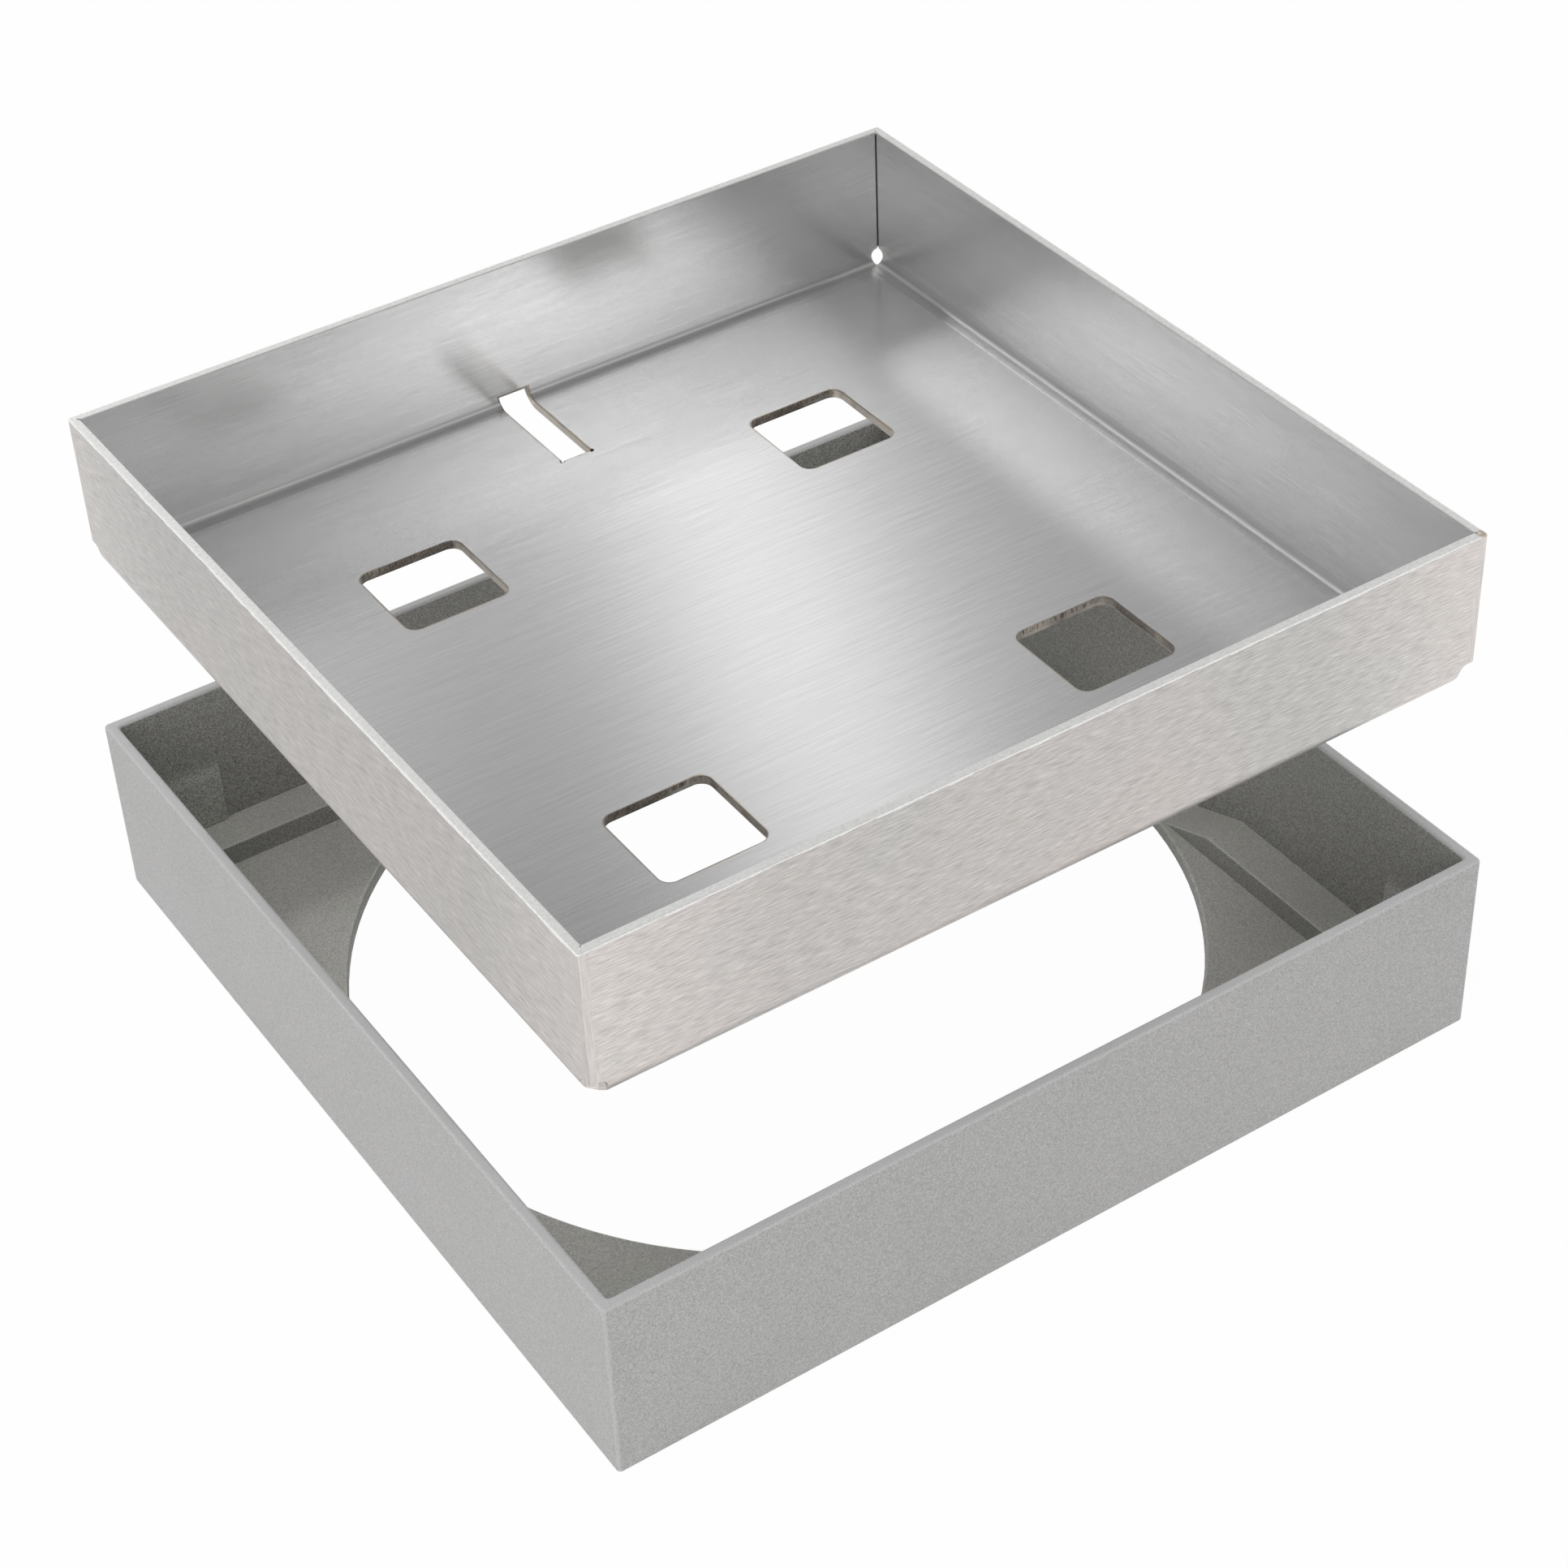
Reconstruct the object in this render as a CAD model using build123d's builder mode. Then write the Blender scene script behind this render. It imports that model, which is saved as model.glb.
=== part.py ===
from build123d import *
import os

# Access cover in two pieces, millimetres, +Z up, origin at the middle of the frame's underside.
# The frame is drawn where it stands, and the tray is drawn lifted straight up out of it.

# Tray: one stainless sheet, laser cut, folded up on four sides, its corners welded and ground
tray_size = 300.0
tray_height = 53.5
sheet = 3.0
bend_inside = 5.0
rim_break = 0.4
corner_grind = 0.8

# Relief hole where two folds meet, wrapped round each lower corner by the folding
relief_reach = 5.3
relief_depth = 7.4
relief_corner = 3.0
relief_height = 8.7
relief_top_round = 2.5

# Mitre line that the outside weld leaves open on the inside of each corner
seam_width = 0.5
seam_depth = 1.2

# Four square windows in the tray's floor
window_size = 35.4
window_pitch = 144.2
window_corner = 4.0

# Slot for a lifting key, cut in the floor and up through the fold of the back wall
slot_width = 11.0
slot_reach = 43.6
slot_rise = 6.4
slot_nick = 0.55

# Frame: one polymer moulding, open above, with a flange turned in at its foot
wall = 3.8
tray_gap = 2.7
flange = 4.5
flange_width = 13.3
corner_outside = 1.5
corner_inside = 1.0
rim_round_outside = 1.0
rim_round_inside = 1.2
foot_round = 0.5
opening_round = 1.0

# Ledges that carry the tray, one at each end of every wall, ramped down towards its middle
ledge_height = 8.2
ledge_width = 14.7
ledge_spacing = 60.0
ledge_ramp = 22.0
crest_round = 0.5

# Pads in the corners that centre the tray, each run out into the wall by a lead-in at its top
pad_clearance = 1.2
pad_length = 30.7
pad_height = 19.5
pad_lead = 6.5

# The tray's place: straight above its seat, by this much
lift = 119.5

# Sizes that follow from those above
bend_outside = bend_inside + sheet
half_inside = tray_size / 2 + tray_gap
frame_inside = 2 * half_inside
frame_size = frame_inside + 2 * wall
ledge_level = flange + ledge_height
frame_height = ledge_level + tray_height
opening_radius = half_inside - flange_width
pad_depth = tray_gap - pad_clearance
tray_base = ledge_level + lift

os.makedirs("parts", exist_ok=True)

# Tray
with BuildPart() as tray:
    with BuildSketch(Plane.XY.offset(tray_base)):
        RectangleRounded(tray_size, tray_size, corner_grind)
    extrude(amount=tray_height)

    # Folds on the outside, two walls at a time
    for side in (Plane.XZ, Plane.YZ):
        with BuildSketch(side):
            with Locations((0, tray_base + tray_height)):
                RectangleRounded(tray_size, 2 * tray_height, bend_outside)
        extrude(amount=tray_size, both=True, mode=Mode.INTERSECT)

    # Hollow inside the sheet, with the folds' inner radius round the floor
    with BuildSketch(Plane.XY.offset(tray_base + sheet)):
        Rectangle(tray_size - 2 * sheet, tray_size - 2 * sheet)
    extrude(amount=tray_height, mode=Mode.SUBTRACT)
    floor = tray.faces().filter_by(Plane.XY).sort_by(Axis.Z)[1]
    fillet(floor.edges(), radius=bend_inside)
    fillet(tray.edges().group_by(Axis.Z)[-1], radius=rim_break)

    # Windows
    with BuildSketch(Plane.XY.offset(tray_base)):
        with GridLocations(window_pitch, window_pitch, 2, 2):
            RectangleRounded(window_size, window_size, window_corner)
    extrude(amount=sheet, mode=Mode.SUBTRACT)

    # Key slot, open through the back fold, with a nick at each of its inner corners
    slot_end = tray_size / 2 - slot_reach
    with BuildSketch(Plane.XY.offset(tray_base)):
        with Locations((0, slot_end)):
            Rectangle(slot_width, slot_reach + sheet, align=(Align.CENTER, Align.MIN))
    extrude(amount=slot_rise, mode=Mode.SUBTRACT)
    with BuildSketch(Plane.XY.offset(tray_base)):
        with Locations((0, slot_end)):
            with GridLocations(slot_width, 0, 2, 1):
                Circle(slot_nick)
    extrude(amount=sheet, mode=Mode.SUBTRACT)

    # Mitre lines, cut on the diagonal of each inner corner
    seam_middle = (tray_size / 2 - sheet) * 2**0.5
    with BuildSketch(Plane.XY.offset(tray_base + bend_inside)):
        with PolarLocations(seam_middle, 4, start_angle=45):
            Rectangle(2 * seam_depth, seam_width)
    extrude(amount=tray_height, mode=Mode.SUBTRACT)

    # Corner reliefs, a little wider inside the tray than outside
    corner = tray_size / 2
    with BuildPart(mode=Mode.PRIVATE) as relief:
        with BuildSketch(Plane.XY.offset(tray_base)) as relief_outline:
            with BuildLine():
                Polyline(
                    (corner - relief_depth, corner - relief_depth),
                    (corner + relief_depth, corner + relief_depth - 2 * relief_reach),
                    (corner + relief_depth, corner + relief_depth),
                    (corner + relief_depth - 2 * relief_reach, corner + relief_depth),
                    close=True,
                )
            make_face()
            fillet(relief_outline.vertices().sort_by(Axis.X)[0], radius=relief_corner)
        extrude(amount=relief_height)
        fillet(relief.edges().group_by(Axis.Z)[-1], radius=relief_top_round)
    with PolarLocations(0, 4):
        add(relief.part, mode=Mode.SUBTRACT)

# What each wall of the frame carries, drawn at the back wall
with BuildPart() as wall_fittings:
    # Ledges
    with BuildSketch(Plane(origin=(0, half_inside, flange), x_dir=(1, 0, 0), z_dir=(0, -1, 0))):
        with BuildLine():
            Polyline(
                (ledge_spacing / 2, 0),
                (ledge_spacing / 2 + ledge_ramp, ledge_height),
                (half_inside, ledge_height),
                (half_inside, 0),
                close=True,
            )
        make_face()
        mirror(about=Plane.YZ)
    extrude(amount=ledge_width)
    inner_edges = wall_fittings.edges().group_by(Axis.Y)[0].filter_by(Axis.Z, reverse=True)
    fillet(inner_edges.filter_by(lambda edge: edge.center().Z > flange), radius=crest_round)

    # Pads
    pad_start = half_inside - pad_length
    with BuildSketch(Plane(origin=(pad_start, half_inside, ledge_level), x_dir=(0, 1, 0), z_dir=(1, 0, 0))):
        with BuildLine():
            Polyline(
                (0, 0),
                (-pad_depth, 0),
                (-pad_depth, pad_height),
                (0, pad_height + pad_lead),
                close=True,
            )
        make_face()
    extrude(amount=pad_length)
    mirror(about=Plane.YZ)

# Frame
with BuildPart() as seat_frame:
    with BuildSketch():
        RectangleRounded(frame_size, frame_size, corner_outside)
    extrude(amount=frame_height)
    with BuildSketch(Plane.XY.offset(flange)):
        RectangleRounded(frame_inside, frame_inside, corner_inside)
    extrude(amount=frame_height, mode=Mode.SUBTRACT)

    # Rounded rim and foot
    rim = seat_frame.faces().filter_by(Plane.XY).sort_by(Axis.Z)[-1]
    fillet(rim.inner_wires().edges(), radius=rim_round_inside)
    rim = seat_frame.faces().filter_by(Plane.XY).sort_by(Axis.Z)[-1]
    fillet(rim.outer_wire().edges(), radius=rim_round_outside)
    foot = seat_frame.faces().filter_by(Plane.XY).sort_by(Axis.Z)[0]
    fillet(foot.outer_wire().edges(), radius=foot_round)

    # Round opening through the flange, with a softened upper edge
    with BuildSketch():
        Circle(opening_radius)
    extrude(amount=flange, mode=Mode.SUBTRACT)
    opening_edges = seat_frame.edges().filter_by(GeomType.CIRCLE).group_by(SortBy.RADIUS)[-1]
    fillet(opening_edges.sort_by(Axis.Z)[-1], radius=opening_round)

    # Ledges and pads on all four walls
    with PolarLocations(0, 4):
        add(wall_fittings.part)

tray.part.label = "infill_tray"
seat_frame.part.label = "seat_frame"
export_step(tray.part, "parts/infill_tray.step")
export_step(seat_frame.part, "parts/seat_frame.step")
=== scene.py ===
import bpy, math
from mathutils import Matrix, Vector


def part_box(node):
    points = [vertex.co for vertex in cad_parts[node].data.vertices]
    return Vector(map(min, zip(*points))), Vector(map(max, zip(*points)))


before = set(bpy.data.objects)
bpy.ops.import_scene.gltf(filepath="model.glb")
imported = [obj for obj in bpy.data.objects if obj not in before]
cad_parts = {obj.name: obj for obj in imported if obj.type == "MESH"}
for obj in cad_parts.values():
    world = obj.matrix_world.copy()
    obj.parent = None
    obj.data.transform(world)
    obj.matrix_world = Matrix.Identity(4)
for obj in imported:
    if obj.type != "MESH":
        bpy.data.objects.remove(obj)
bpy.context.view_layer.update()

# Seat frame: one square moulding in grey polymer, set in the paving, that carries the tray on its ledges.
# The mould gives it a fine sand texture all over. Painted highlights lie on its outer edges, its rim and
# its ledges' crests, painted shade on its inner walls, lighter on the pads, and painted light on its ledges
# and flange.
seat_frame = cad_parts["seat_frame"]
frame_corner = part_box("seat_frame")[1]
half_frame = frame_corner.x
frame_rim = frame_corner.z
frame_wall = 0.0038
half_inside = half_frame - frame_wall
ledge_level = 0.0127
ledge_width = 0.0147
ledge_crest = half_inside - ledge_width
crest_round = 0.0005
soft_edge = 0.0003
sharp_edge = 0.0002


class Recipe:
    """The nodes of one finish. Each step adds a node and gives back its output for later steps."""

    def __init__(self, tree):
        self.tree = tree

    def put(self, value, socket):
        """An output is linked to the socket. Anything else is a value, written on the socket."""
        if isinstance(value, bpy.types.NodeSocket):
            self.tree.links.new(value, socket)
        else:
            socket.default_value = value

    def node(self, kind, inputs=None, **settings):
        made = self.tree.nodes.new(kind)
        for name, value in settings.items():
            setattr(made, name, value)
        for key, value in (inputs or {}).items():
            self.put(value, made.inputs[key])
        return made

    def maths(self, operation, a, b=0.0):
        return self.node("ShaderNodeMath", {0: a, 1: b}, operation=operation).outputs["Value"]

    def times(self, *shares):
        """The product of all the shares."""
        product = shares[0]
        for share in shares[1:]:
            product = self.maths("MULTIPLY", product, share)
        return product

    def most(self, *values):
        """The largest of all the values."""
        largest = values[0]
        for value in values[1:]:
            largest = self.maths("MAXIMUM", largest, value)
        return largest

    def rest_of(self, share):
        """What is left of 1 beside the share."""
        return self.maths("SUBTRACT", 1.0, share)

    def vector(self, operation, a, b=(0, 0, 0), output="Vector"):
        return self.node("ShaderNodeVectorMath", {0: a, 1: b}, operation=operation).outputs[output]

    def shaded(self, colour, tone):
        """The colour with its brightness multiplied by the tone, which may be a colour too."""
        return self.vector("MULTIPLY", colour, tone)

    def apart(self, vector):
        """The x, y and z of a vector."""
        return list(self.node("ShaderNodeSeparateXYZ", {"Vector": vector}).outputs)

    def together(self, **parts):
        """A vector of the parts given, its other parts 0."""
        return self.node("ShaderNodeCombineXYZ", parts).outputs["Vector"]

    def spread(self, value, low, high, to_low=0.0, to_high=1.0):
        """A value from low to high turned into one from to_low to to_high, and level past these ends."""
        stretch = {"Value": value, "From Min": low, "From Max": high, "To Min": to_low, "To Max": to_high}
        return self.node("ShaderNodeMapRange", stretch).outputs["Result"]

    def past(self, value, edge, blur):
        """1 where the value is past the edge, 0 short of it."""
        return self.spread(value, edge - blur, edge + blur)

    def short_of(self, value, edge, blur):
        """1 where the value is short of the edge, 0 past it."""
        return self.spread(value, edge + blur, edge - blur)

    def blend(self, share, a, b, kind="RGBA"):
        """From a, where the share is 0, to b, where it is 1."""
        made = self.node("ShaderNodeMix", data_type=kind)
        first, second, result = {"FLOAT": (2, 3, 0), "VECTOR": (4, 5, 1), "RGBA": (6, 7, 2)}[kind]
        for socket, value in ((0, share), (first, a), (second, b)):
            self.put(value, made.inputs[socket])
        return made.outputs[result]

    def between(self, share, a, b):
        """The blend of two plain values."""
        return self.blend(share, a, b, "FLOAT")

    def mottle(self, where, scale, detail=3.0, roughness=0.7):
        """Noise from 0 to 1, mostly near a half, with scale lumps to the metre."""
        noise = {"Vector": where, "Scale": scale, "Detail": detail, "Roughness": roughness}
        return self.node("ShaderNodeTexNoise", noise).outputs["Fac"]

    def streaks(self, where, scale, turn=(0, 0, 0)):
        """The place stretched by scale and turned, so that noise on it comes out as streaks."""
        stretch = {"Vector": where, "Rotation": turn, "Scale": scale}
        return self.node("ShaderNodeMapping", stretch).outputs["Vector"]


polymer = bpy.data.materials.new("sanded_grey_polymer")
polymer.use_nodes = True
polymer_shader = polymer.node_tree.nodes["Principled BSDF"]
sand = Recipe(polymer.node_tree)
place = sand.node("ShaderNodeTexCoord").outputs["Object"]
facing = sand.node("ShaderNodeNewGeometry").outputs["Normal"]
place_z = sand.apart(place)[2]
facing_up = sand.apart(facing)[2]
across_x, across_y, _ = sand.apart(sand.vector("ABSOLUTE", place))
farthest = sand.most(across_x, across_y)
facing_size = sand.vector("ABSOLUTE", facing)
size_x, size_y, size_z = sand.apart(facing_size)
next_size = sand.together(X=size_y, Y=size_z, Z=size_x)
rounding = sand.vector("DOT_PRODUCT", facing_size, next_size, "Value")

# Sand texture over slow clouds of a cooler and a warmer grey.
# A swing is the range that most of a noise keeps to.
grains = 2100.0
clouds = 14.0
noise_swing = (0.3, 0.7)
grain_swing = (0.25, 0.75)
cool_grey = (0.446, 0.452, 0.436, 1)
warm_grey = (0.482, 0.472, 0.474, 1)
speckle = (0.72, 1.28)
grain = sand.mottle(place, grains, detail=1.0, roughness=0.6)
cloud = sand.mottle(place, clouds, detail=4.0, roughness=0.6)
cloud_grey = sand.blend(sand.spread(cloud, *noise_swing), cool_grey, warm_grey)
grey = sand.shaded(cloud_grey, sand.spread(grain, *grain_swing, *speckle))

# Inside walls: painted shade, lighter on the pads where light falls on them, painted light on the up-facing
# ledges and flange, and a coarser grain
inside_margin = 0.0004
pad_margin = 0.0006
seat_top = ledge_level + 0.00155
seat_blur = 0.00075
wall_speckle = (0.66, 1.34)
painted_wall_shade = (0.580, 0.580, 0.548, 1)
painted_pad_shade = (0.790, 0.790, 0.750, 1)
painted_seat_light = (1.32, 1.32, 1.27, 1)
unchanged = (1, 1, 1, 1)
upright_range = (0.7, 0.3)
level_range = (0.5, 0.9)
upright_face = sand.spread(size_z, *upright_range)
inside = sand.times(sand.short_of(farthest, half_inside + inside_margin, soft_edge), upright_face)
above_ledges = sand.past(place_z, ledge_level, sharp_edge)
on_pad = sand.times(sand.short_of(farthest, half_inside - pad_margin, soft_edge), above_ledges)
on_seat = sand.times(sand.spread(facing_up, *level_range), sand.short_of(place_z, seat_top, seat_blur))
wall_grain = sand.spread(grain, *grain_swing, *wall_speckle)
wall_tone = sand.shaded(sand.blend(on_pad, painted_wall_shade, painted_pad_shade), wall_grain)
inner_tone = sand.blend(inside, sand.blend(on_seat, unchanged, painted_seat_light), wall_tone)

# Painted highlights on the outer rounded edges, the flat of the rim and the ledges' crests
edge_band = 0.0014
rim_band = 0.0013
edge_highlight = 0.45
rim_highlight = 0.50
crest_highlight = 0.45
round_range = (0.15, 0.5)
flat_range = (0.7, 0.95)
highlight_grey = (0.640, 0.645, 0.655, 1)
on_outside = sand.past(farthest, half_frame - edge_band, soft_edge)
on_rim = sand.past(place_z, frame_rim - rim_band, soft_edge)
on_round = sand.spread(rounding, *round_range, 0.0, edge_highlight)
round_highlight = sand.times(on_round, sand.most(on_outside, on_rim))
flat_highlight = sand.times(on_rim, sand.spread(size_z, *flat_range, 0.0, rim_highlight))
from_crest = sand.maths("ABSOLUTE", sand.maths("SUBTRACT", farthest, ledge_crest))
near_crest = sand.spread(from_crest, 2 * crest_round, 0.8 * crest_round, 0.0, crest_highlight)
crest_highlit = sand.times(near_crest, sand.past(place_z, ledge_level - crest_round, sharp_edge))
frame_highlights = sand.most(round_highlight, flat_highlight, crest_highlit)
polymer_colour = sand.blend(frame_highlights, sand.shaded(grey, inner_tone), highlight_grey)
sand.put(polymer_colour, polymer_shader.inputs["Base Color"])

# The grains are rough on top, and pitted between
polymer_rough = (0.50, 0.66)
pit_depth = 0.0002
pit_strength = 0.5
sand.put(sand.spread(grain, *noise_swing, *polymer_rough), polymer_shader.inputs["Roughness"])
pits = sand.node("ShaderNodeBump", {"Height": grain, "Strength": pit_strength, "Distance": pit_depth})
sand.put(pits.outputs["Normal"], polymer_shader.inputs["Normal"])
seat_frame.data.materials.clear()
seat_frame.data.materials.append(polymer)

# Infill tray: one sheet of stainless steel, laser cut, folded up on four sides and brushed.
# The corners are welded and ground outside, the rim is ground flat, and the cuts keep their dark laser edge.
infill_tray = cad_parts["infill_tray"]
tray_low, tray_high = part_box("infill_tray")
tray_middle = (tray_low + tray_high) / 2
half_tray = tray_high.x
tray_foot = tray_low.z
tray_rim = tray_high.z
sheet = 0.003
fold_outside = 0.008
fold_start = half_tray - fold_outside
inner_face = half_tray - sheet
steel = bpy.data.materials.new("brushed_stainless")
steel.use_nodes = True
steel_shader = steel.node_tree.nodes["Principled BSDF"]
brush = Recipe(steel.node_tree)
spot = brush.node("ShaderNodeTexCoord").outputs["Object"]
turned = brush.node("ShaderNodeNewGeometry")
flat_way = turned.outputs["True Normal"]
smooth_way = turned.outputs["Normal"]
spot_x, spot_y, spot_z = brush.apart(spot)
out_x, out_y, _ = brush.apart(brush.vector("ABSOLUTE", spot))
flat_x, _, flat_z = brush.apart(brush.vector("ABSOLUTE", flat_way))
smooth_x, _, slope = brush.apart(brush.vector("ABSOLUTE", smooth_way))
widest = brush.most(out_x, out_y)
narrowest = brush.maths("MINIMUM", out_x, out_y)

# Which side of the sheet a place is on, and whether it is on a side wall, a fold or a fold's inner crease.
# The slope is 0 on the walls and 1 on the floor.
side_blur = 0.001
sideways = 0.70
sideways_blur = 0.02
leaving_wall = (0.03, 0.20)
leaving_floor = (0.9995, 0.97)
crease_from_wall = (0.45, 0.55)
crease_from_floor = (0.93, 0.84)
outward = brush.vector("DOT_PRODUCT", brush.vector("SUBTRACT", spot, tray_middle), flat_way, "Value")
outside = brush.past(outward, 0.0, side_blur)
side_wall = brush.past(flat_x, sideways, sideways_blur)
off_wall = brush.spread(slope, *leaving_wall)
off_floor = brush.spread(slope, *leaving_floor)
fold = brush.times(off_wall, off_floor, brush.rest_of(outside))
crease = brush.times(brush.spread(slope, *crease_from_floor), brush.spread(slope, *crease_from_wall), fold)

# How far a place is from the windows and the slot, less than 0 within them
window_pitch = 0.1442
window_size = 0.0354
window_corner = 0.004
slot_width = 0.011
slot_reach = 0.0436
slot_rise = 0.0064


def past_window_side(across):
    """How far past the straight part of a window's side a place is."""
    from_window_middle = brush.maths("ABSOLUTE", brush.maths("SUBTRACT", across, window_pitch / 2))
    return brush.maths("SUBTRACT", from_window_middle, window_size / 2 - window_corner)


window_x = past_window_side(out_x)
window_y = past_window_side(out_y)
past_corner = brush.together(X=brush.most(window_x, 0.0), Y=brush.most(window_y, 0.0))
outside_window = brush.vector("LENGTH", past_corner, output="Value")
inside_window = brush.maths("MINIMUM", brush.most(window_x, window_y), 0.0)
from_window = brush.maths("SUBTRACT", brush.maths("ADD", outside_window, inside_window), window_corner)
slot_x = brush.maths("SUBTRACT", out_x, slot_width / 2)
slot_y = brush.maths("SUBTRACT", half_tray - slot_reach, spot_y)
slot_z = brush.maths("SUBTRACT", spot_z, tray_foot + slot_rise)
from_slot = brush.most(slot_x, slot_y, slot_z)
from_cut = brush.maths("MINIMUM", from_window, from_slot)

# Brush lines, along X on the floor and the front and back walls, along Y on the side walls.
# They are counted to the metre, across the lines and along them, and the coarse ones lean a little.
coarse_across = 2100
coarse_along = 150
coarse_lean = 0.10
side_lean = -0.16
fine_across = 1300
fine_along = 38
coarse_x = brush.streaks(spot, (coarse_along, coarse_across, coarse_across), (0, coarse_lean, 0))
coarse_y = brush.streaks(spot, (coarse_across, coarse_along, coarse_across), (side_lean, 0, 0))
coarse_lines = brush.mottle(brush.blend(side_wall, coarse_x, coarse_y, "VECTOR"), 1.0)
fine_x = brush.streaks(spot, (fine_along, fine_across, fine_across))
fine_y = brush.streaks(spot, (fine_across, fine_along, fine_across))
fine_lines = brush.mottle(brush.blend(side_wall, fine_x, fine_y, "VECTOR"), 1.0, detail=2.0, roughness=0.6)

# Outside: cooler and warmer by turns, with upright lines by the corners where the welds were ground, a
# painted reflection brightening each wall towards its corners, and painted shade on the side walls
ground_across = 2400
ground_along = 90
ground_share = 0.75
hand_patches = 110.0
hand_waver = 0.001
corner_blur = 0.0008
corner_start = 0.090
corner_full = 0.145
# Painted reflection: the outer walls brighten towards the corners
painted_corner_reflection = 1.18
# Painted shade: the outer side walls are darker
painted_side_shade = 0.84
outside_contrast = (0.70, 1.23)
drift_patches = 11.0
narrow_swing = (0.35, 0.65)
outside_cool = (0.560, 0.548, 0.530, 1)
outside_warm = (0.596, 0.561, 0.540, 1)
hand_ground = brush.mottle(spot, hand_patches)
waver = brush.spread(hand_ground, *noise_swing, -hand_waver, hand_waver)
corner_reach = brush.maths("ADD", narrowest, waver)
by_corner = brush.times(brush.past(corner_reach, inner_face, corner_blur), ground_share)
upright_lines = brush.mottle(brush.streaks(spot, (ground_across, ground_across, ground_along)), 1.0)
outside_lines = brush.between(by_corner, coarse_lines, upright_lines)
outside_tone = brush.times(
    brush.spread(outside_lines, *noise_swing, *outside_contrast),
    brush.spread(narrowest, corner_start, corner_full, 1.0, painted_corner_reflection),
    brush.between(side_wall, 1.0, painted_side_shade),
)
drift = brush.mottle(spot, drift_patches, detail=2.0, roughness=0.5)
outside_tint = brush.blend(brush.spread(drift, *narrow_swing), outside_cool, outside_warm)
outside_steel = brush.shaded(outside_tint, outside_tone)

# Inside: painted shade on each wall by its fold, a painted highlight two thirds of the way up, and painted
# shade again by the rim
wall_start = tray_foot + 1.5 * sheet
fold_end = tray_foot + 0.0078
lower_wall = tray_foot + 0.0208
bright_start = tray_foot + 0.0338
bright_end = tray_foot + 0.0408
wall_top = tray_foot + 0.0528
painted_fold_shade = 0.83
painted_wall_highlight = 1.11
painted_top_shade = 0.92
coarse_share = 0.6
inside_swing = (0.5, 1.1)
inside_contrast = (0.93, 1.065)
inside_clear = (0.620, 0.620, 0.620, 1)
painted_crease_shade = (0.590, 0.590, 0.586, 1)
inside_lines = brush.maths("ADD", fine_lines, brush.times(coarse_lines, coarse_share))
painted_wall_light = brush.times(
    brush.spread(spot_z, fold_end, lower_wall, painted_fold_shade, 1.0),
    brush.spread(spot_z, lower_wall, bright_start, 1.0, painted_wall_highlight),
    brush.spread(spot_z, bright_end, wall_top, 1.0, painted_top_shade),
)
on_wall = brush.past(spot_z, wall_start, soft_edge)
inside_tone = brush.times(
    brush.spread(inside_lines, *inside_swing, *inside_contrast),
    brush.between(on_wall, 1.0, painted_wall_light),
)
# Painted shade in the creases inside the folds
inside_steel = brush.shaded(brush.blend(crease, inside_clear, painted_crease_shade), inside_tone)
faces = brush.blend(outside, inside_steel, outside_steel)

# Ground rim, finely mottled by the grinding, with one corner still tinted by the weld
rim_depth = 0.0006
rim_waver = 0.0003
rim_blur = 0.0001
rim_specks = 900.0
rim_contrast = (0.91, 1.07)
ground_steel = (0.885, 0.885, 0.870)
weld_spot = Vector((half_tray - 0.0012, 0.0012 - half_tray, tray_rim - 0.0004))
weld_reach = 0.0022
weld_full = 0.0012
weld_share = 0.7
weld_brown = (0.50, 0.40, 0.28, 1)
rim_reach = brush.maths("ADD", spot_z, brush.spread(hand_ground, *narrow_swing, -rim_waver, rim_waver))
rim = brush.times(brush.past(rim_reach, tray_rim - rim_depth, rim_blur), outside)
rim_tone = brush.spread(brush.mottle(spot, rim_specks), *noise_swing, *rim_contrast)
from_weld = brush.vector("DISTANCE", spot, weld_spot, "Value")
weld = brush.times(brush.spread(from_weld, weld_reach, weld_full), weld_share)
rim_steel = brush.blend(weld, brush.shaded(ground_steel, rim_tone), weld_brown)
rimmed = brush.blend(rim, faces, rim_steel)

# Laser-cut edges: brown grey and mottled, paler where the cut is clean.
# How clean a cut is depends on which way it runs, and changes over the tray.
cut_margin = 0.0005
cut_reach = 0.0001
cut_blur = 0.00002
soot_specks = 1900.0
soot_patches = 70.0
soot_contrast = (0.45, 1.6)
soot_by_height = (0.7, 1.4)
clean_contrast = (0.80, 1.08)
cut_soot = (0.150, 0.134, 0.116)
cut_clean = (0.60, 0.56, 0.505)
along_x_front_right = 0.40
along_x_back_right = 0.10
along_x_left = 0.14
along_y_front = 0.20
along_y_back = 0.55
clean_range = (0.60, 1.02)
upright_slope = 0.3
upright_blur = 0.1
turn_range = (0.5, 0.85)
back_range = (-0.02, 0.04)
left_range = (0.0, -0.02)
in_floor = brush.short_of(widest, fold_start - cut_margin, sharp_edge)
at_cut = brush.short_of(from_cut, cut_reach, cut_blur)
upright = brush.short_of(flat_z, upright_slope, upright_blur)
cut = brush.times(brush.most(in_floor, at_cut), upright)
soot = brush.mottle(spot, soot_specks)
patches = brush.mottle(spot, soot_patches, detail=3.0, roughness=0.6)
cut_along_y = brush.spread(smooth_x, *turn_range)
towards_back = brush.spread(spot_y, *back_range)
towards_left = brush.spread(spot_x, *left_range)
along_x_right = brush.between(towards_back, along_x_front_right, along_x_back_right)
clean_x = brush.between(towards_left, along_x_right, along_x_left)
clean_y = brush.between(towards_back, along_y_front, along_y_back)
cleanness = brush.maths("ADD", patches, brush.between(cut_along_y, clean_x, clean_y))
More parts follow.
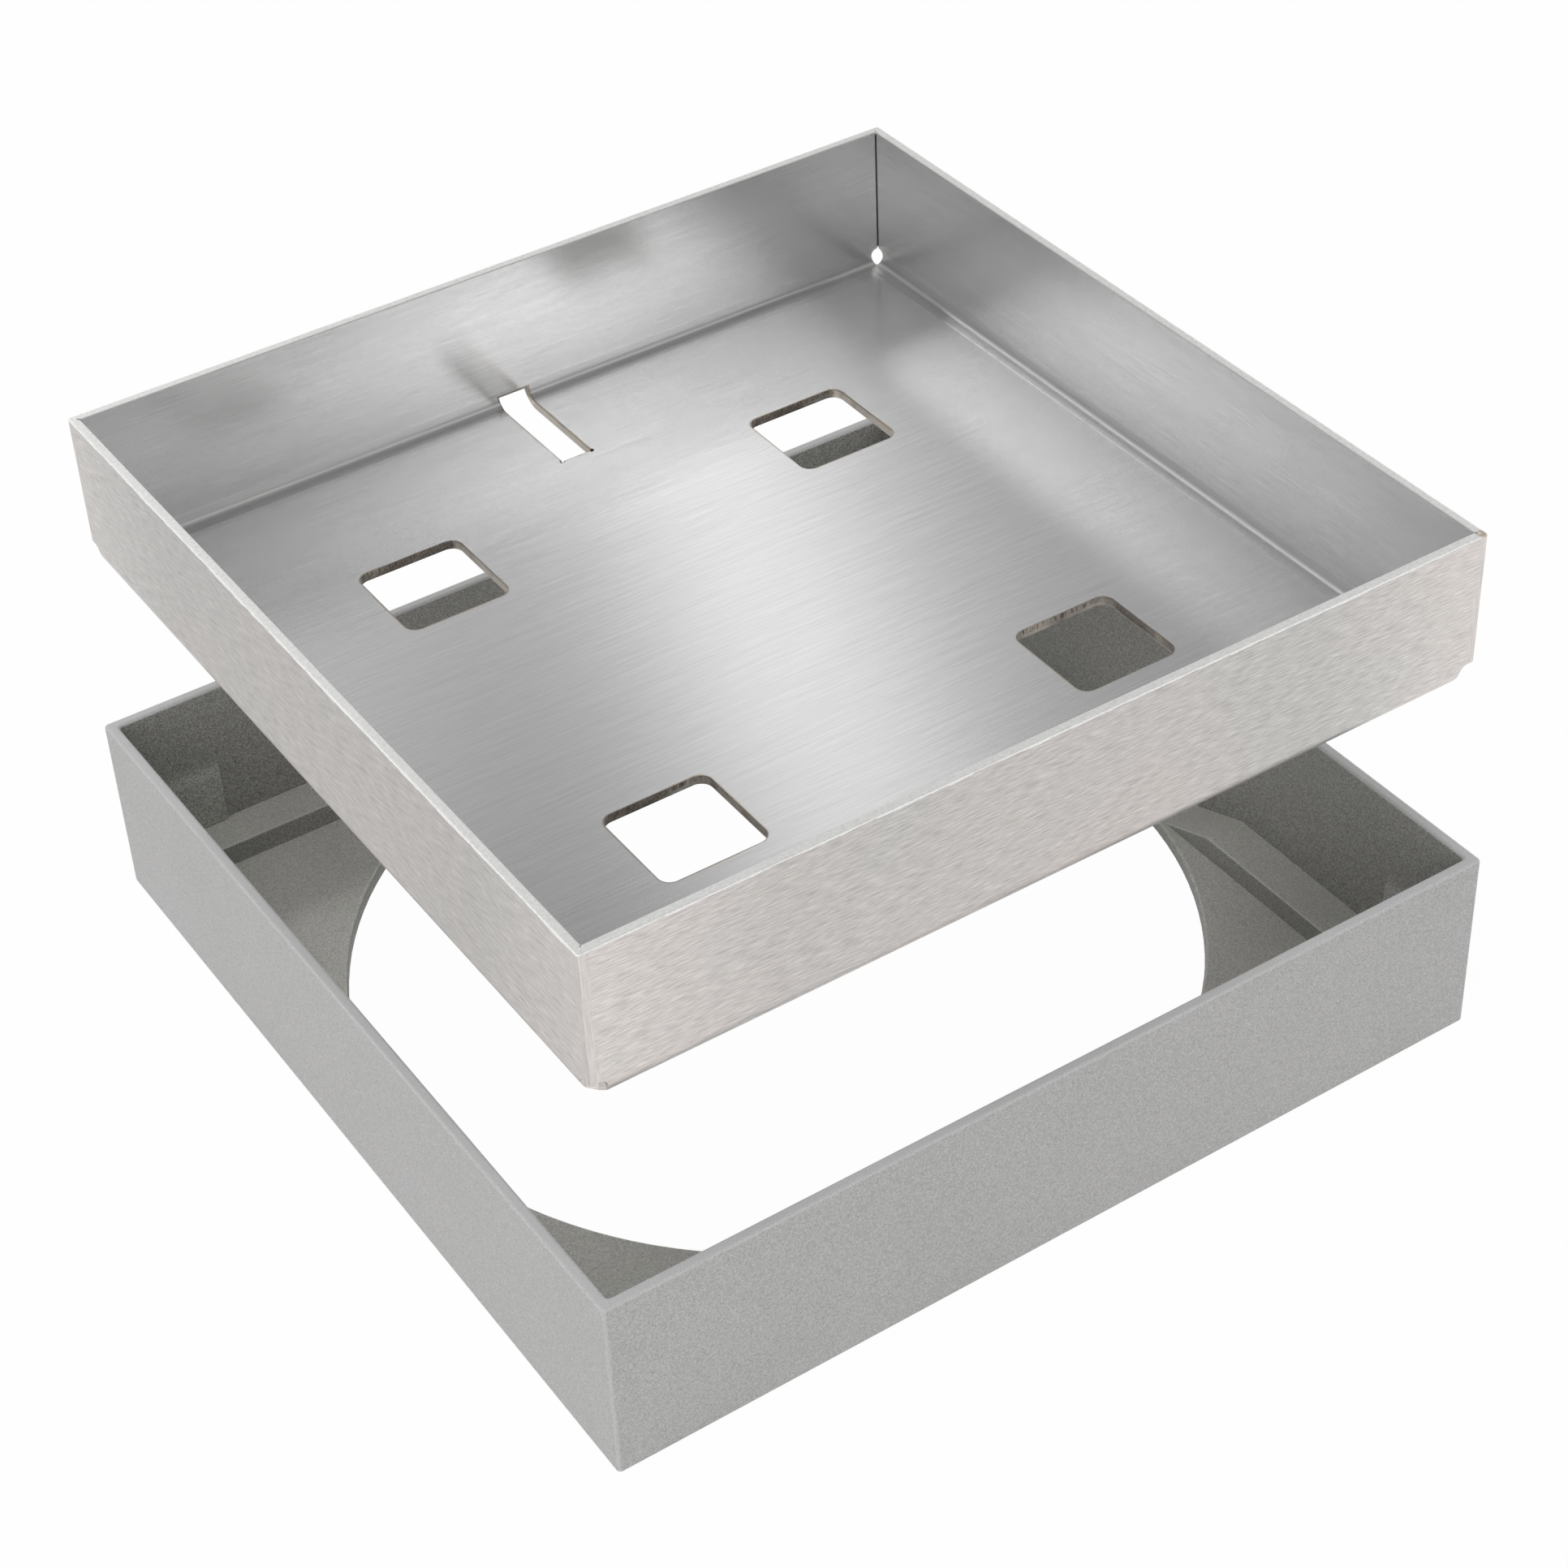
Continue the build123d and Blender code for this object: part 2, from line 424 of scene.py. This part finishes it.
up_the_cut = brush.spread(spot_z, tray_foot, tray_foot + sheet)
soot_tone = brush.times(
    brush.spread(soot, *noise_swing, *soot_contrast),
    brush.spread(up_the_cut, 0.0, 1.0, *soot_by_height),
)
bare_cut = brush.blend(
    brush.spread(cleanness, *clean_range),
    brush.shaded(cut_soot, soot_tone),
    brush.shaded(cut_clean, brush.spread(soot, *noise_swing, *clean_contrast)),
)

# The beam leaves slanted marks near the top of the cuts along X, and a pale foot and dark top on the others
marks_across = 1700
marks_along = 300
marks_slant = (0.25, 0.45, 0)
mark_start = (0.30, 0.55)
mark_swing = (0.48, 0.60)
mark_share = 0.85
foot_end = (0.14, 0.06)
foot_share = 0.5
top_share = 0.6
top_depth = 0.0004
beam_mark = (0.085, 0.070, 0.056, 1)
cut_foot = (0.55, 0.52, 0.48, 1)
cut_top = (0.16, 0.12, 0.09, 1)
beam = brush.mottle(brush.streaks(spot, (marks_across, marks_across, marks_along), marks_slant), 1.0)
beam_reach = brush.times(brush.spread(up_the_cut, *mark_start), brush.rest_of(cut_along_y))
marked = brush.times(brush.spread(beam, *mark_swing), beam_reach, mark_share)
pale_foot = brush.times(brush.spread(up_the_cut, *foot_end), cut_along_y, foot_share)
at_top = brush.past(spot_z, tray_foot + sheet - top_depth, sharp_edge)
dark_top = brush.times(at_top, cut_along_y, top_share)
cut_steel = brush.blend(marked, bare_cut, beam_mark)
cut_steel = brush.blend(pale_foot, cut_steel, cut_foot)
cut_steel = brush.blend(dark_top, cut_steel, cut_top)

# Each cut's rim on the sheet: a dark hairline, and past it a brown heat tint that comes and goes
hairline_width = 0.00026
hairline_blur = 0.00006
hairline_share = 0.75
heat_width = 0.00055
heat_blur = 0.00025
heat_swing = (0.42, 0.60)
heat_strength = (0.05, 0.65)
wall_line = 0.0006
wall_line_blur = 0.0001
wall_line_start = tray_foot + 0.0043
wall_line_full = tray_foot + 0.0058
hairline_dark = (0.14, 0.125, 0.11, 1)
heat_brown = (0.42, 0.33, 0.24, 1)
slot_in_wall = brush.times(
    brush.spread(spot_z, wall_line_start, wall_line_full),
    brush.short_of(from_slot, wall_line, wall_line_blur),
)
by_cut = brush.short_of(from_cut, hairline_width, hairline_blur)
hairline = brush.times(brush.most(by_cut, slot_in_wall), hairline_share)
heated = brush.times(
    brush.short_of(from_cut, heat_width, heat_blur),
    brush.spread(patches, *heat_swing, *heat_strength),
)
edged = brush.blend(heated, brush.blend(hairline, rimmed, hairline_dark), heat_brown)

# The mitre line inside each corner: dark along the seam, and painted light on the notch where it meets the
# rim, cancelling the notch's shade
mitre_half = 0.00037
mitre_blur = 0.00003
mitre_margin = 0.0003
mitre_margin_blur = 0.0001
mitre_depth = 0.0030
mitre_top = tray_rim - 0.0014
painted_notch_light = (0.95, 0.95, 0.93, 1)
mitre_dark = (0.11, 0.10, 0.092, 1)
off_mitre = brush.maths("ABSOLUTE", brush.maths("SUBTRACT", out_x, out_y))
mitre = brush.times(
    brush.short_of(off_mitre, mitre_half, mitre_blur),
    brush.past(narrowest, inner_face - mitre_margin, mitre_margin_blur),
    brush.short_of(brush.maths("ADD", out_x, out_y), 2 * inner_face + mitre_depth, sharp_edge),
)
notch = brush.times(mitre, brush.past(spot_z, mitre_top, soft_edge))
below_notch = brush.times(mitre, brush.short_of(spot_z, mitre_top, soft_edge))
seamed = brush.blend(below_notch, brush.blend(notch, edged, painted_notch_light), mitre_dark)

# The round nick at each inner corner of the slot, coloured near black
nick_reach = 0.00085
nick_blur = 0.0001
nick_top = tray_foot + 0.00355
nick_top_blur = 0.00025
nick_dark = (0.030, 0.022, 0.020, 1)
from_nick = brush.vector("LENGTH", brush.together(X=slot_x, Y=slot_y), output="Value")
nick = brush.times(
    brush.short_of(from_nick, nick_reach, nick_blur),
    brush.short_of(spot_z, nick_top, nick_top_blur),
)
steel_colour = brush.blend(nick, brush.blend(cut, seamed, cut_steel), nick_dark)
brush.put(steel_colour, steel_shader.inputs["Base Color"])

# Smoothest inside, where the brush lies flat, and dullest on the rim, on the cuts and in the creases
rough_inside = 0.27
rough_fold = 0.32
rough_crease = 0.52
rough_outside = 0.36
rough_bare = 0.60
metallic = 1.0
brushed = 0.5
inside_rough = brush.between(crease, brush.between(fold, rough_inside, rough_fold), rough_crease)
faces_rough = brush.between(outside, inside_rough, rough_outside)
steel_rough = brush.between(brush.most(rim, cut), faces_rough, rough_bare)
brush.put(steel_rough, steel_shader.inputs["Roughness"])
steel_shader.inputs["Metallic"].default_value = metallic
steel_shader.inputs["Anisotropic"].default_value = brushed

# The inside of each fold catches the light as a crease, so its shading turns all at once, half way round.
# The brush lines are scratches, shallow inside and deeper outside, and the glint spreads square to them.
scratch_depth = 0.00005
scratched_inside = 0.01
scratched_outside = 0.2
turn_share = brush.vector("ABSOLUTE", smooth_way)
for _ in range(2):
    turn_share = brush.vector("MULTIPLY", turn_share, turn_share)
creased_way = brush.vector("NORMALIZE", brush.vector("MULTIPLY", smooth_way, turn_share))
scratches = {
    "Height": coarse_lines,
    "Strength": brush.between(outside, scratched_inside, scratched_outside),
    "Distance": scratch_depth,
    "Normal": brush.blend(fold, smooth_way, creased_way, "VECTOR"),
}
scratched_way = brush.node("ShaderNodeBump", scratches).outputs["Normal"]
brush.put(scratched_way, steel_shader.inputs["Normal"])
line_way = brush.blend(side_wall, (1, 0, 0), (0, 1, 0), "VECTOR")
brush.put(brush.vector("CROSS_PRODUCT", flat_way, line_way), steel_shader.inputs["Tangent"])
infill_tray.data.materials.clear()
infill_tray.data.materials.append(steel)

# Studio floor: a sheet of white paper under the frame.
# It shows white to the camera and in the steel, and keeps a soft shadow.
paper_size = 40.0
paper_gap = 0.0002
paper_grey = (0.8, 0.8, 0.8, 1)
paper_rough = 0.9
glow_share = 0.975
white = (1, 1, 1, 1)
bpy.ops.object.select_all(action="DESELECT")
bpy.ops.mesh.primitive_plane_add(size=paper_size, location=(0, 0, -paper_gap))
floor = bpy.context.object
floor.name = "studio_floor"
paper = bpy.data.materials.new("white_floor")
paper.use_nodes = True
paper_shader = paper.node_tree.nodes["Principled BSDF"]
paper_shader.inputs["Base Color"].default_value = paper_grey
paper_shader.inputs["Roughness"].default_value = paper_rough
blank = Recipe(paper.node_tree)
seen = blank.node("ShaderNodeLightPath").outputs
seen_white = blank.most(seen["Is Camera Ray"], seen["Is Glossy Ray"], seen["Is Transmission Ray"])
glow = blank.node("ShaderNodeEmission", {"Color": white, "Strength": 1.0}).outputs["Emission"]
paper_parts = {0: blank.times(seen_white, glow_share), 1: paper_shader.outputs["BSDF"], 2: glow}
paper_mix = blank.node("ShaderNodeMixShader", paper_parts).outputs["Shader"]
blank.put(paper_mix, paper.node_tree.nodes["Material Output"].inputs["Surface"])
floor.data.materials.append(paper)

# Studio room: white all round to the camera.
# It lights the steel brightly up to about 30 degrees above the level, and dimly from 45 degrees on.
walls_end = 0.49
ceiling_start = 0.71
walls_bright = 0.90
ceiling_bright = 0.10
world = bpy.data.worlds.new("studio")
bpy.context.scene.world = world
world.use_nodes = True
room_light = world.node_tree.nodes["Background"]
room_light.inputs["Color"].default_value = white
room = Recipe(world.node_tree)
room_height = room.apart(room.node("ShaderNodeTexCoord").outputs["Generated"])[2]
brightness = room.spread(room_height, walls_end, ceiling_start, walls_bright, ceiling_bright)
room.put(brightness, room_light.inputs["Strength"])
room_white = room.node("ShaderNodeBackground", {"Color": white, "Strength": 1.0}).outputs["Background"]
to_camera = room.node("ShaderNodeLightPath").outputs["Is Camera Ray"]
room_parts = {0: to_camera, 1: room_light.outputs["Background"], 2: room_white}
room_mix = room.node("ShaderNodeMixShader", room_parts).outputs["Shader"]
room.put(room_mix, world.node_tree.nodes["World Output"].inputs["Surface"])

# Studio lamps: four narrow strips that draw the bright bands in the steel, and seven broad soft boxes.
# A bearing is in degrees round from the back wall to the right one, a height in degrees above the level.
lamp_distance = 1.9
lit_middle = Vector((0, 0, 0.15))
looked_at = Vector((0, 0, 0.13))
strip = (0.8, 0.18)
box = (1.2, 1.2)
along_x = Vector((1, 0, 0))
along_y = Vector((0, 1, 0))
upwards = Vector((0, 0, 1))


def hang_lamp(name, size, bearing, height, square_to, power):
    """A lamp that looks at the tray, its long side square to the direction square_to."""
    bearing = math.radians(bearing)
    height = math.radians(height)
    level = Vector((math.sin(bearing), math.cos(bearing), 0))
    from_tray = math.cos(height) * level + math.sin(height) * upwards
    lamp = bpy.data.lights.new(name, "AREA")
    lamp.shape = "RECTANGLE"
    lamp.size, lamp.size_y = size
    lamp.energy = power
    hung_at = lit_middle + lamp_distance * from_tray
    back = (hung_at - looked_at).normalized()
    short_way = back.cross(from_tray.cross(square_to)).normalized()
    turned_to = Matrix((short_way.cross(back), short_way, back)).transposed()
    hung = bpy.data.objects.new(name, lamp)
    bpy.context.scene.collection.objects.link(hung)
    hung.matrix_world = Matrix.Translation(hung_at) @ turned_to.to_4x4()


hang_lamp("strip_back_right", strip, 33.9, 39.6, along_x, 0.72)
hang_lamp("strip_front_right", strip, 149.2, 32.8, along_x, 1.7)
hang_lamp("strip_left_back", strip, -36.0, 31.9, along_y, 1.0)
hang_lamp("strip_back", strip, -9.7, 44.6, along_y, 4.1)
hang_lamp("softbox_left", box, -83.7, 23.8, upwards, 3.7)
hang_lamp("softbox_front", box, 167.5, 23.4, upwards, 0.9)
hang_lamp("softbox_right", box, 90.0, 24.0, upwards, 6.4)
hang_lamp("softbox_behind", box, 0.0, 24.0, upwards, 2.0)
hang_lamp("softbox_camera", box, -135.0, 23.5, upwards, 3.5)
hang_lamp("softbox_front_right", box, 129.8, 38.4, upwards, 1.5)
hang_lamp("softbox_above", box, -116.6, 70.6, along_x, 8.6)

# Camera: a long lens at the photograph's place and angle.
# It is a little turned about its own axis, as the photograph is.
camera_bearing = math.radians(32.037)
camera_height = math.radians(39.208)
camera_roll = math.radians(-2.720)
camera_distance = 1.06739
aim_point = Vector((0.00575, -0.00061, frame_rim))
forward = Vector((math.sin(camera_bearing), math.cos(camera_bearing), 0))
look = math.cos(camera_height) * forward - math.sin(camera_height) * upwards
level = look.cross(upwards).normalized()
above = level.cross(look)
camera_right = math.cos(camera_roll) * level + math.sin(camera_roll) * above
camera_up = math.cos(camera_roll) * above - math.sin(camera_roll) * level
lens = bpy.data.cameras.new("photo_camera")
lens.sensor_width = 36.0
lens.lens = 77.72
lens.clip_end = 100.0
camera = bpy.data.objects.new("photo_camera", lens)
bpy.context.scene.collection.objects.link(camera)
camera_turn = Matrix((camera_right, camera_up, -look)).transposed()
camera.matrix_world = Matrix.Translation(aim_point - camera_distance * look) @ camera_turn.to_4x4()
bpy.context.scene.camera = camera
bpy.context.scene.view_settings.view_transform = "Standard"
